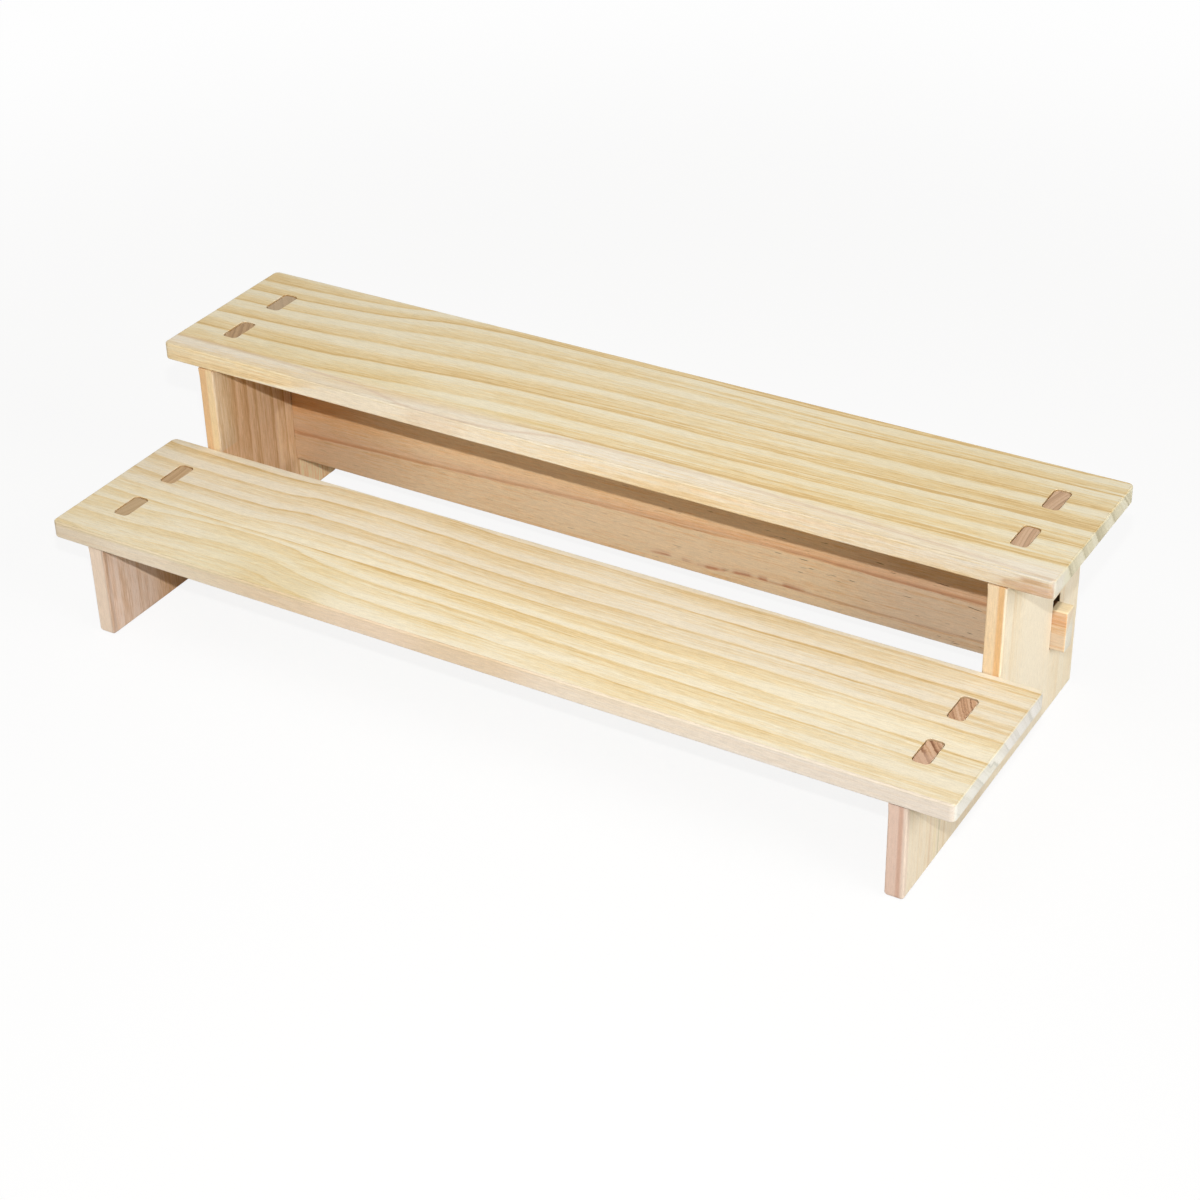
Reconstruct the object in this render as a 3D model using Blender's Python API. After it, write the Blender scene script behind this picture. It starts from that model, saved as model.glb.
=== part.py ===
"""Two-tier display riser: two pine shelves on a pair of stepped side panels, tied by a rear stretcher.

Metres, +Z up. +X runs along the shelves, -Y is the front (the low tier), and the origin lies on the
floor under the middle of the riser. Every joint is a mortise and tenon cut in the boards themselves.
"""

from math import radians

import bmesh
import bpy

# Shelves
SHELF_LENGTH = 0.400
SHELF_DEPTH = 0.080
SHELF_THICKNESS = 0.0075
UPPER_SHELF_TOP = 0.094
LOWER_SHELF_TOP = 0.0485
SHELF_CORNER_RADIUS = 0.0025

# Side panels
PANEL_THICKNESS = 0.0075
SHELF_OVERHANG = 0.0175  # shelf end past a panel's outer face
PANEL_FRONT_SETBACK = 0.0006  # panel's front edge behind the lower shelf's front edge
PANEL_BACK_SETBACK = 0.0015  # panel's back edge before the upper shelf's back edge

# Shelf tenons, cut from the panels' upper edges, and the slots they pass through
SHELF_TENON_LENGTH = 0.0148
SHELF_TENON_PITCH = 0.030
SHELF_TENON_CHEEK = 0.0005  # how far a tenon's face lies inside the panel's face
SHELF_TENON_RECESS = 0.0004  # tenon end below the shelf's upper face
SLOT_CORNER_RADIUS = 0.002

# Rear stretcher, its tenons and the mortises they pass through
STRETCHER_THICKNESS = 0.0075
STRETCHER_HEIGHT = 0.040
STRETCHER_CLEARANCE = 0.020  # lower edge above the floor
STRETCHER_INSET = 0.0205  # back face before the panels' back edge
STRETCHER_TENON_HEIGHT = 0.018
STRETCHER_TENON_CHEEK = 0.0003  # how far the tenon's face lies inside the stretcher's face
STRETCHER_TENON_PROUD = 0.006  # tenon end past the panel's outer face
MORTISE_HEADROOM = 0.004  # open height left above the tenon

# Finish of the edges
BOARD_EDGE_RADIUS = 0.0008
STRETCHER_EDGE_RADIUS = 0.0006
ROUND_SEGMENTS = 3
SMOOTH_ANGLE = radians(35)  # facets that meet at less are shaded as one round

# Gap between pieces that touch, and how far a cutter or a tenon's root runs past the surface it meets
FIT = 0.0003
CUT_MARGIN = 0.002

# Tolerances of the modelling steps
WELD_DISTANCE = 1e-6
FLAT_ANGLE = radians(1)
PARALLEL = 0.999  # cosine above which two directions count as one

# Places that follow from the sizes
STEP_Y = FIT / 2  # plane of the upper shelf's front edge and of the panels' step
UPPER_SHELF_Y = STEP_Y + SHELF_DEPTH / 2
LOWER_SHELF_Y = -UPPER_SHELF_Y
PANEL_OUTER_X = SHELF_LENGTH / 2 - SHELF_OVERHANG
PANEL_INNER_X = PANEL_OUTER_X - PANEL_THICKNESS
PANEL_X = PANEL_OUTER_X - PANEL_THICKNESS / 2
PANEL_FRONT_Y = LOWER_SHELF_Y - SHELF_DEPTH / 2 + PANEL_FRONT_SETBACK
PANEL_BACK_Y = UPPER_SHELF_Y + SHELF_DEPTH / 2 - PANEL_BACK_SETBACK
STRETCHER_Y = PANEL_BACK_Y - STRETCHER_INSET - STRETCHER_THICKNESS / 2
STRETCHER_Z = STRETCHER_CLEARANCE + STRETCHER_HEIGHT / 2

SIDES = {"left": -1, "right": 1}
SHELVES = {
    "upper": (UPPER_SHELF_Y, UPPER_SHELF_TOP),
    "lower": (LOWER_SHELF_Y, LOWER_SHELF_TOP),
}
TENON_OFFSETS = (-SHELF_TENON_PITCH / 2, SHELF_TENON_PITCH / 2)
SHELF_TENON_THICKNESS = PANEL_THICKNESS - 2 * SHELF_TENON_CHEEK
STRETCHER_TENON_THICKNESS = STRETCHER_THICKNESS - 2 * STRETCHER_TENON_CHEEK

# Linear colours of the planed pine, and its dull finish
SHELF_COLOUR = (0.80, 0.67, 0.43)
PANEL_COLOUR = (0.76, 0.58, 0.38)
STRETCHER_COLOUR = (0.66, 0.44, 0.28)
PINE_ROUGHNESS = 0.6


def clear_scene():
    for item in list(bpy.data.objects):
        bpy.data.objects.remove(item, do_unlink=True)


def new_collection(name):
    collection = bpy.data.collections.new(name)
    bpy.context.scene.collection.children.link(collection)
    return collection


def new_material(name, colour):
    material = bpy.data.materials.new(name)
    material.use_nodes = True
    shader = material.node_tree.nodes["Principled BSDF"]
    shader.inputs["Base Color"].default_value = (*colour, 1.0)
    shader.inputs["Roughness"].default_value = PINE_ROUGHNESS
    shader.inputs["Metallic"].default_value = 0.0
    return material


def mesh_object(name, form, collection):
    """Turns a bmesh into a named object in a collection."""
    bmesh.ops.recalc_face_normals(form, faces=form.faces)
    mesh = bpy.data.meshes.new(name)
    form.to_mesh(mesh)
    form.free()
    mesh.shade_smooth()
    mesh.set_sharp_from_angle(angle=SMOOTH_ANGLE)
    item = bpy.data.objects.new(name, mesh)
    collection.objects.link(item)
    return item


def box_form(size_x, size_y, size_z):
    """A box centred on its origin."""
    form = bmesh.new()
    bmesh.ops.create_cube(form, size=1.0)
    bmesh.ops.scale(form, vec=(size_x, size_y, size_z), verts=form.verts)
    return form


def round_edges(form, edges, radius):
    """Rounds edges over, a little less where a neighbouring edge leaves no room."""
    bmesh.ops.bevel(
        form,
        geom=list(edges),
        offset=radius,
        offset_type="OFFSET",
        segments=ROUND_SEGMENTS,
        profile=0.5,
        affect="EDGES",
        clamp_overlap=True,
    )


def runs_along(edge, axis):
    """True for an edge parallel to a coordinate axis (0, 1 or 2)."""
    span = (edge.verts[1].co - edge.verts[0].co).normalized()
    return abs(span[axis]) > PARALLEL


def faces_along(edge, direction):
    """True where a face beside the edge points along a direction."""
    return any(face.normal.dot(direction) > PARALLEL for face in edge.link_faces)


def outline_form(points, thickness):
    """A flat outline in the XY plane, filled and extruded evenly to both sides, as a bmesh."""
    curve = bpy.data.curves.new("outline", "CURVE")
    curve.dimensions = "2D"
    curve.fill_mode = "BOTH"
    curve.extrude = thickness / 2
    spline = curve.splines.new("POLY")
    spline.points.add(len(points) - 1)
    for spot, (x, y) in zip(spline.points, points):
        spot.co = (x, y, 0.0, 1.0)
    spline.use_cyclic_u = True
    guide = bpy.data.objects.new("outline", curve)
    bpy.context.scene.collection.objects.link(guide)
    graph = bpy.context.evaluated_depsgraph_get()
    mesh = bpy.data.meshes.new_from_object(guide.evaluated_get(graph))
    bpy.data.objects.remove(guide, do_unlink=True)
    bpy.data.curves.remove(curve)
    form = bmesh.new()
    form.from_mesh(mesh)
    bpy.data.meshes.remove(mesh)
    bmesh.ops.remove_doubles(form, verts=form.verts, dist=WELD_DISTANCE)
    bmesh.ops.dissolve_limit(form, angle_limit=FLAT_ANGLE, verts=form.verts, edges=form.edges)
    bmesh.ops.recalc_face_normals(form, faces=form.faces)
    return form


def add_tool(name, form, location, collection):
    """A hidden shape that is cut out of a piece or joined to it."""
    tool = mesh_object(name, form, collection)
    tool.location = location
    tool.hide_render = True
    tool.display_type = "WIRE"
    return tool


def combine(item, tool, operation):
    """Cuts a tool out of a piece (DIFFERENCE) or joins it to the piece (UNION)."""
    modifier = item.modifiers.new(tool.name, "BOOLEAN")
    modifier.operation = operation
    modifier.solver = "EXACT"
    modifier.object = tool


def peg_form(size_x, size_y, size_z, corner_radius):
    """An upright box with rounded corners in plan, for a shelf tenon or its slot."""
    form = box_form(size_x, size_y, size_z)
    round_edges(form, [edge for edge in form.edges if runs_along(edge, 2)], corner_radius)
    return form


def slot_form():
    """The routed slot for one shelf tenon: the tenon's plan with a fit all round."""
    return peg_form(
        SHELF_TENON_THICKNESS + 2 * FIT,
        SHELF_TENON_LENGTH + 2 * FIT,
        SHELF_THICKNESS + 2 * CUT_MARGIN,
        SLOT_CORNER_RADIUS,
    )


def add_shelf(tier, parts, tools):
    """One board, rounded at its corners and along every edge, with a slot for each tenon."""
    centre_y, top_z = SHELVES[tier]
    centre_z = top_z - SHELF_THICKNESS / 2
    form = peg_form(SHELF_LENGTH, SHELF_DEPTH, SHELF_THICKNESS, SHELF_CORNER_RADIUS)
    flat_faces = [face for face in form.faces if abs(face.normal.z) > PARALLEL]
    round_edges(form, {edge for face in flat_faces for edge in face.edges}, BOARD_EDGE_RADIUS)
    shelf = mesh_object(f"{tier}_shelf", form, parts)
    shelf.location = (0.0, centre_y, centre_z)
    for side, sign in SIDES.items():
        for number, offset in enumerate(TENON_OFFSETS, start=1):
            place = (sign * PANEL_X, centre_y + offset, centre_z)
            slot = add_tool(f"{tier}_{side}_slot_{number}", slot_form(), place, tools)
            combine(shelf, slot, "DIFFERENCE")
    return shelf


def shoulder_height(tier):
    """The level of the panel's edge that a shelf rests on."""
    return SHELVES[tier][1] - SHELF_THICKNESS - FIT


def panel_form():
    """The stepped panel in its own plane: local X is the riser's depth and local Y its height."""
    points = [
        (PANEL_FRONT_Y, 0.0),
        (PANEL_BACK_Y, 0.0),
        (PANEL_BACK_Y, shoulder_height("upper")),
        (STEP_Y, shoulder_height("upper")),
        (STEP_Y, shoulder_height("lower")),
        (PANEL_FRONT_Y, shoulder_height("lower")),
    ]
    form = outline_form(points, PANEL_THICKNESS)
    shoulder_direction = (0, 1, 0)
    free_edges = [edge for edge in form.edges if not faces_along(edge, shoulder_direction)]
    round_edges(form, free_edges, BOARD_EDGE_RADIUS)
    return form


def add_panel(side, mortise, parts, tools):
    """A stepped panel with two tenons standing on each shoulder and the stretcher's mortise through it."""
    centre_x = SIDES[side] * PANEL_X
    panel = mesh_object(f"{side}_side_panel", panel_form(), parts)
    panel.rotation_euler = (radians(90), 0.0, radians(90))
    panel.location = (centre_x, 0.0, 0.0)
    for tier, (shelf_y, shelf_top) in SHELVES.items():
        root_z = shoulder_height(tier) - CUT_MARGIN
        end_z = shelf_top - SHELF_TENON_RECESS
        for number, offset in enumerate(TENON_OFFSETS, start=1):
            form = peg_form(SHELF_TENON_THICKNESS, SHELF_TENON_LENGTH, end_z - root_z, SLOT_CORNER_RADIUS)
            place = (centre_x, shelf_y + offset, (root_z + end_z) / 2)
            combine(panel, add_tool(f"{side}_{tier}_tenon_{number}", form, place, tools), "UNION")
    combine(panel, mortise, "DIFFERENCE")
    return panel


def add_stretcher(parts, tools):
    """A board on edge, shouldered against the panels, with a tenon bar through its length."""
    place = (0.0, STRETCHER_Y, STRETCHER_Z)
    board = box_form(2 * (PANEL_INNER_X - FIT), STRETCHER_THICKNESS, STRETCHER_HEIGHT)
    round_edges(board, [edge for edge in board.edges if runs_along(edge, 0)], STRETCHER_EDGE_RADIUS)
    stretcher = mesh_object("rear_stretcher", board, parts)
    stretcher.location = place
    bar = box_form(
        2 * (PANEL_OUTER_X + STRETCHER_TENON_PROUD),
        STRETCHER_TENON_THICKNESS,
        STRETCHER_TENON_HEIGHT,
    )
    round_edges(bar, bar.edges, STRETCHER_EDGE_RADIUS)
    combine(stretcher, add_tool("stretcher_tenons", bar, place, tools), "UNION")
    return stretcher


def add_mortise_tool(tools):
    """One bar through both panels: the tenon seats on the mortise's floor, with headroom above it."""
    height = STRETCHER_TENON_HEIGHT + FIT + MORTISE_HEADROOM
    floor_z = STRETCHER_Z - STRETCHER_TENON_HEIGHT / 2 - FIT
    form = box_form(2 * (PANEL_OUTER_X + CUT_MARGIN), STRETCHER_TENON_THICKNESS + 2 * FIT, height)
    return add_tool("stretcher_mortises", form, (0.0, STRETCHER_Y, floor_z + height / 2), tools)


def main():
    clear_scene()
    parts = new_collection("two_tier_display_riser")
    tools = new_collection("joinery_cutters")
    base = bpy.data.objects.new("riser_base", None)
    parts.objects.link(base)

    mortise = add_mortise_tool(tools)
    pieces = {add_shelf(tier, parts, tools): SHELF_COLOUR for tier in SHELVES}
    pieces.update({add_panel(side, mortise, parts, tools): PANEL_COLOUR for side in SIDES})
    pieces[add_stretcher(parts, tools)] = STRETCHER_COLOUR
    for piece, colour in pieces.items():
        piece.parent = base
        piece.data.materials.append(new_material(f"{piece.name}_pine", colour))


main()
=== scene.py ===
"""Looks of the two-tier display riser: pine boards, each with its own grain, on a pale studio floor.

Metres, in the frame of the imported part: +X along the shelves, -Y the front, +Z up. The patterns in the
wood are written in millimetres, in the same frame.
"""

from collections import namedtuple
from math import ceil, cos, pi, radians, sin

import bmesh
import bpy
from mathutils import Matrix, Vector, noise


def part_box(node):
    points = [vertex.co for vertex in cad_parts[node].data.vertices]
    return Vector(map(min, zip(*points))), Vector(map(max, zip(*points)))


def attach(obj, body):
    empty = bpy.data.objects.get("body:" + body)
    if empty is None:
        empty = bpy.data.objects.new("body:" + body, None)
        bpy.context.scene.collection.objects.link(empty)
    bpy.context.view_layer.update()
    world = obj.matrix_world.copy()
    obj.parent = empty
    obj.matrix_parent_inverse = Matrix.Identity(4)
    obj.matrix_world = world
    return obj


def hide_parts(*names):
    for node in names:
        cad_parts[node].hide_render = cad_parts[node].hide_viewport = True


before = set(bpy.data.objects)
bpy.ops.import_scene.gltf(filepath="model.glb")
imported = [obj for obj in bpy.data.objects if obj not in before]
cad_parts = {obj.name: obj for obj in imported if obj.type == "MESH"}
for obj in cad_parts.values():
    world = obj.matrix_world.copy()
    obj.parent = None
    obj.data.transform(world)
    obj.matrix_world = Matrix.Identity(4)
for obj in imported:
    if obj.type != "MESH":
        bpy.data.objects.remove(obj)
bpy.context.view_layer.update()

# Joints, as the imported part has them
TENON_PITCH = 0.030
TENON_LENGTH = 0.0148
TENON_CHEEK = 0.0005
TENON_RECESS = 0.0004
FIT = 0.0003
STRETCHER_TENON_CHEEK = 0.0003
STRETCHER_TENON_HEIGHT = 0.018
MORTISE_HEADROOM = 0.004

# Gap at the stretcher's shoulders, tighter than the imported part's, so that the joint looks closed
STRETCHER_SHOULDER = 0.0001

# Rounded edges and corners
SHELF_CORNER = 0.0025
SLOT_CORNER = 0.002
FOOT_CORNER = 0.0015
FOOT_EDGE = 0.0015
BOARD_EDGE = 0.0008
SHOULDER_EDGE = 0.0001
STRETCHER_EDGE = 0.0006
SLOT_MOUTH = 0.00015
TENON_EDGE = 0.00025
MORTISE_MOUTH = 0.00005
EDGE_SEGMENTS = 6
CORNER_SEGMENTS = 8

# How far an edge's radius wanders, the noise value at which it is as written, and the length of a wave
EDGE_WOBBLE = 0.12
WOBBLE_MIDDLE = 0.5
WOBBLE_LENGTH = 0.018

# Steps and limits of the modelling
OUTLINE_STEP = 0.004
CUT_MARGIN = 0.002
SMOOTH_ANGLE = radians(35)
FACING = 0.1  # a normal leaning further than this towards a direction faces it

# Directions of an outline's own plane: its two axes and its thickness
LYING = (Vector((1, 0, 0)), Vector((0, 1, 0)), Vector((0, 0, 1)))
UPRIGHT = (Vector((0, 1, 0)), Vector((0, 0, 1)), Vector((1, 0, 0)))
ON_EDGE = (Vector((0, 0, 1)), Vector((1, 0, 0)), Vector((0, 1, 0)))

Spot = namedtuple("Spot", "point normal radius")
Ring = namedtuple("Ring", "inset level lift")


# Outlines and solids

def outline(corners):
    """Closed outline, counter-clockwise, from (u, v, radius) corners: a list of (point, outward normal)."""
    found = []
    count = len(corners)
    for index, (u, v, radius) in enumerate(corners):
        here = Vector((u, v))
        following = corners[(index + 1) % count]
        way_in = (here - Vector(corners[index - 1][:2])).normalized()
        way_out = (Vector(following[:2]) - here).normalized()
        normal_in = Vector((way_in.y, -way_in.x))
        normal_out = Vector((way_out.y, -way_out.x))
        if radius:
            centre = here + (way_out - way_in) * radius
            for share in range(CORNER_SEGMENTS + 1):
                angle = share / CORNER_SEGMENTS * pi / 2
                normal = normal_in * cos(angle) + normal_out * sin(angle)
                found.append((centre + normal * radius, normal))
        else:
            found.append((here, normal_in + normal_out))
        start = here + way_out * radius
        end = Vector(following[:2]) - way_out * following[2]
        pieces = max(1, ceil((end - start).length / OUTLINE_STEP))
        for share in range(1, pieces):
            found.append((start.lerp(end, share / pieces), normal_out))
    return found


def rectangle(size_u, size_v, radius):
    """The corners of a rounded rectangle around the origin."""
    right = size_u / 2
    high = size_v / 2
    return [(-right, -high, radius), (right, -high, radius), (right, high, radius), (-right, high, radius)]


def eased(spots, radius):
    """The outline with one edge radius all round."""
    return [Spot(point, normal, radius) for point, normal in spots]


def hand_eased(spots, radius, seed):
    """The outline with an edge radius that wanders a little, as sanding by hand leaves it."""
    found = []
    for point, normal in spots:
        place = Vector((point.x, point.y, seed)) / WOBBLE_LENGTH
        wander = EDGE_WOBBLE * (noise.noise(place) - WOBBLE_MIDDLE)
        found.append(Spot(point, normal, radius * (1 + wander)))
    return found


def edge_rings(half, outward=False):
    """Rings of a slab's wall from one face to the other, with rounded edges, or flared ones for a cutter."""
    side = -1 if outward else 1
    upper = []
    for share in range(EDGE_SEGMENTS + 1):
        angle = share / EDGE_SEGMENTS * pi / 2
        upper.append(Ring(side * (1 - cos(angle)), half, sin(angle) - 1))
    if outward:
        upper.append(Ring(-1, half + CUT_MARGIN, 0))
    lower = [Ring(ring.inset, -ring.level, -ring.lift) for ring in reversed(upper)]
    return lower + upper


def loft(spots, rings):
    """A closed solid between rings of one outline, as a bmesh in the outline's own plane."""
    form = bmesh.new()
    rows = []
    for ring in rings:
        row = []
        for spot in spots:
            flat = spot.point - spot.normal * (ring.inset * spot.radius)
            row.append(form.verts.new((flat.x, flat.y, ring.level + ring.lift * spot.radius)))
        rows.append(row)
    count = len(spots)
    for low, high in zip(rows, rows[1:]):
        for index in range(count):
            after = (index + 1) % count
            form.faces.new((low[index], low[after], high[after], high[index]))
    form.faces.new(list(reversed(rows[0])))
    form.faces.new(rows[-1])
    return form


def solid(name, form, axes, centre):
    """Turns a bmesh into an object, with the outline's axes turned into the part's frame."""
    turn = Matrix(axes).transposed().to_4x4()
    turn.translation = centre
    bmesh.ops.transform(form, matrix=turn, verts=form.verts)
    mesh = bpy.data.meshes.new(name)
    form.to_mesh(mesh)
    form.free()
    item = bpy.data.objects.new(name, mesh)
    bpy.context.scene.collection.objects.link(item)
    return item


def shape(item, tools):
    """Joins and cuts the tools, given as (tool, operation), into a piece's own mesh."""
    for tool, operation in tools:
        modifier = item.modifiers.new(tool.name, "BOOLEAN")
        modifier.operation = operation
        modifier.solver = "EXACT"
        modifier.object = tool
    graph = bpy.context.evaluated_depsgraph_get()
    finished = bpy.data.meshes.new_from_object(item.evaluated_get(graph))
    item.modifiers.clear()
    item.data = finished
    finished.name = item.name
    for tool, _ in tools:
        bpy.data.objects.remove(tool, do_unlink=True)


def finish_piece(item, node, material):
    """Smooth shading, the material, and the CAD node that the piece stands for."""
    item.data.shade_smooth()
    item.data.set_sharp_from_angle(angle=SMOOTH_ANGLE)
    shading = item.modifiers.new("even_shading", "WEIGHTED_NORMAL")
    shading.keep_sharp = True
    item.data.materials.clear()
    item.data.materials.append(material)
    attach(item, "root")
    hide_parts(node)


# Pieces

def panel_middle(node):
    """Where the middle of a side panel's thickness lies along the shelves."""
    low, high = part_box(node)
    return (low.x + high.x) / 2


def tenon_places(node):
    """Where the tenons stand under a shelf, along its depth."""
    low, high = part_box(node)
    middle = (low.y + high.y) / 2
    return [middle - TENON_PITCH / 2, middle + TENON_PITCH / 2]


def make_shelf(node, name, seed, material):
    """A shelf board: rounded corners, hand-eased edges, four routed slots with softened mouths."""
    low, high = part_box(node)
    size = high - low
    centre = (low + high) / 2
    spots = hand_eased(outline(rectangle(size.x, size.y, SHELF_CORNER)), BOARD_EDGE, seed)
    board = solid(name, loft(spots, edge_rings(size.z / 2)), LYING, centre)
    panel_low, panel_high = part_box("left_side_panel")
    slot_width = panel_high.x - panel_low.x - 2 * TENON_CHEEK + 2 * FIT
    mouth = outline(rectangle(slot_width, TENON_LENGTH + 2 * FIT, SLOT_CORNER))
    tools = []
    for panel in ("left_side_panel", "right_side_panel"):
        for place in tenon_places(node):
            form = loft(eased(mouth, SLOT_MOUTH), edge_rings(size.z / 2, outward=True))
            tools.append((solid("slot", form, LYING, (panel_middle(panel), place, centre.z)), "DIFFERENCE"))
    shape(board, tools)
    finish_piece(board, node, material)


def panel_spots(low, high, step_y, low_shoulder, high_shoulder, seed):
    """The stepped panel's outline: eased where an edge is free, more at the feet, sharp under a shelf."""
    corners = [
        (low.y, low.z, FOOT_CORNER),
        (high.y, low.z, FOOT_CORNER),
        (high.y, high_shoulder, 0),
        (step_y, high_shoulder, 0),
        (step_y, low_shoulder, 0),
        (low.y, low_shoulder, 0),
    ]
    found = []
    for spot in hand_eased(outline(corners), BOARD_EDGE, seed):
        upward = spot.normal.y
        if upward > FACING:
            radius = SHOULDER_EDGE
        else:
            radius = spot.radius + (FOOT_EDGE - BOARD_EDGE) * max(0.0, -upward)
        found.append(spot._replace(radius=radius))
    return found


def make_panel(node, name, seed, material):
    """A stepped side panel with its four shelf tenons and the stretcher's mortise."""
    low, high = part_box(node)
    thickness = high.x - low.x
    middle = panel_middle(node)
    upper_low, upper_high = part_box("upper_shelf")
    lower_low, lower_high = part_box("lower_shelf")
    shoulders = (lower_low.z - FIT, upper_low.z - FIT)
    tops = (lower_high.z, upper_high.z)
    spots = panel_spots(low, high, upper_low.y, *shoulders, seed)
    panel = solid(name, loft(spots, edge_rings(thickness / 2)), UPRIGHT, (middle, 0, 0))
    plan = outline(rectangle(thickness - 2 * TENON_CHEEK, TENON_LENGTH, SLOT_CORNER))
    tools = []
    for shelf, shoulder, top in zip(("lower_shelf", "upper_shelf"), shoulders, tops):
        root = shoulder - CUT_MARGIN
        end = top - TENON_RECESS
        for place in tenon_places(shelf):
            form = loft(eased(plan, TENON_EDGE), edge_rings((end - root) / 2))
            tools.append((solid("tenon", form, LYING, (middle, place, (root + end) / 2)), "UNION"))
    tools.append((mortise_tool(middle, thickness), "DIFFERENCE"))
    shape(panel, tools)
    finish_piece(panel, node, material)


def mortise_tool(middle, thickness):
    """The cutter for one panel's mortise, with softened mouths: the tenon's section with room above it."""
    low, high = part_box("rear_stretcher")
    width = high.y - low.y - 2 * STRETCHER_TENON_CHEEK + 2 * FIT
    tenon_low = (low.z + high.z - STRETCHER_TENON_HEIGHT) / 2
    bottom = tenon_low - FIT
    top = tenon_low + STRETCHER_TENON_HEIGHT + MORTISE_HEADROOM
    centre = (middle, (low.y + high.y) / 2, (bottom + top) / 2)
    mouth = outline(rectangle(width, top - bottom, 0))
    form = loft(eased(mouth, MORTISE_MOUTH), edge_rings(thickness / 2, outward=True))
    return solid("mortise", form, UPRIGHT, centre)


def make_stretcher(node, name, seed, material):
    """The board on edge between the panels, with a through tenon at each end."""
    low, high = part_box(node)
    size = high - low
    centre = (low + high) / 2
    panel_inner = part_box("right_side_panel")[0].x
    length = 2 * (panel_inner - STRETCHER_SHOULDER)
    spots = []
    for spot in hand_eased(outline(rectangle(size.z, length, 0)), STRETCHER_EDGE, seed):
        at_shoulder = abs(spot.normal.y) > FACING
        spots.append(spot._replace(radius=SHOULDER_EDGE) if at_shoulder else spot)
    board = solid(name, loft(spots, edge_rings(size.y / 2)), ON_EDGE, centre)
    bar = outline(rectangle(STRETCHER_TENON_HEIGHT, size.x, STRETCHER_EDGE))
    half = size.y / 2 - STRETCHER_TENON_CHEEK
    form = loft(hand_eased(bar, STRETCHER_EDGE, seed), edge_rings(half))
    shape(board, [(solid("tenons", form, ON_EDGE, centre), "UNION")])
    finish_piece(board, node, material)


# Node helpers

# Sockets of the Mix node for numbers and for colours: the share, the two inputs, and the colour's result
NUMBER_SOCKETS = (0, 2, 3)
COLOUR_SOCKETS = (0, 6, 7)
COLOUR_RESULT = 2

# Scales of a noise per millimetre, along the grain and across it, and its detail and roughness
Pattern = namedtuple("Pattern", "along across detail roughness", defaults=(0.5,))


def linear(red, green, blue):
    """A colour given as it looks on screen, 0 to 255, as linear light, by the standard screen curve."""
    found = []
    for value in (red, green, blue):
        share = value / 255
        found.append(share / 12.92 if share <= 0.04045 else ((share + 0.055) / 1.055) ** 2.4)
    return (*found, 1.0)


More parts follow.
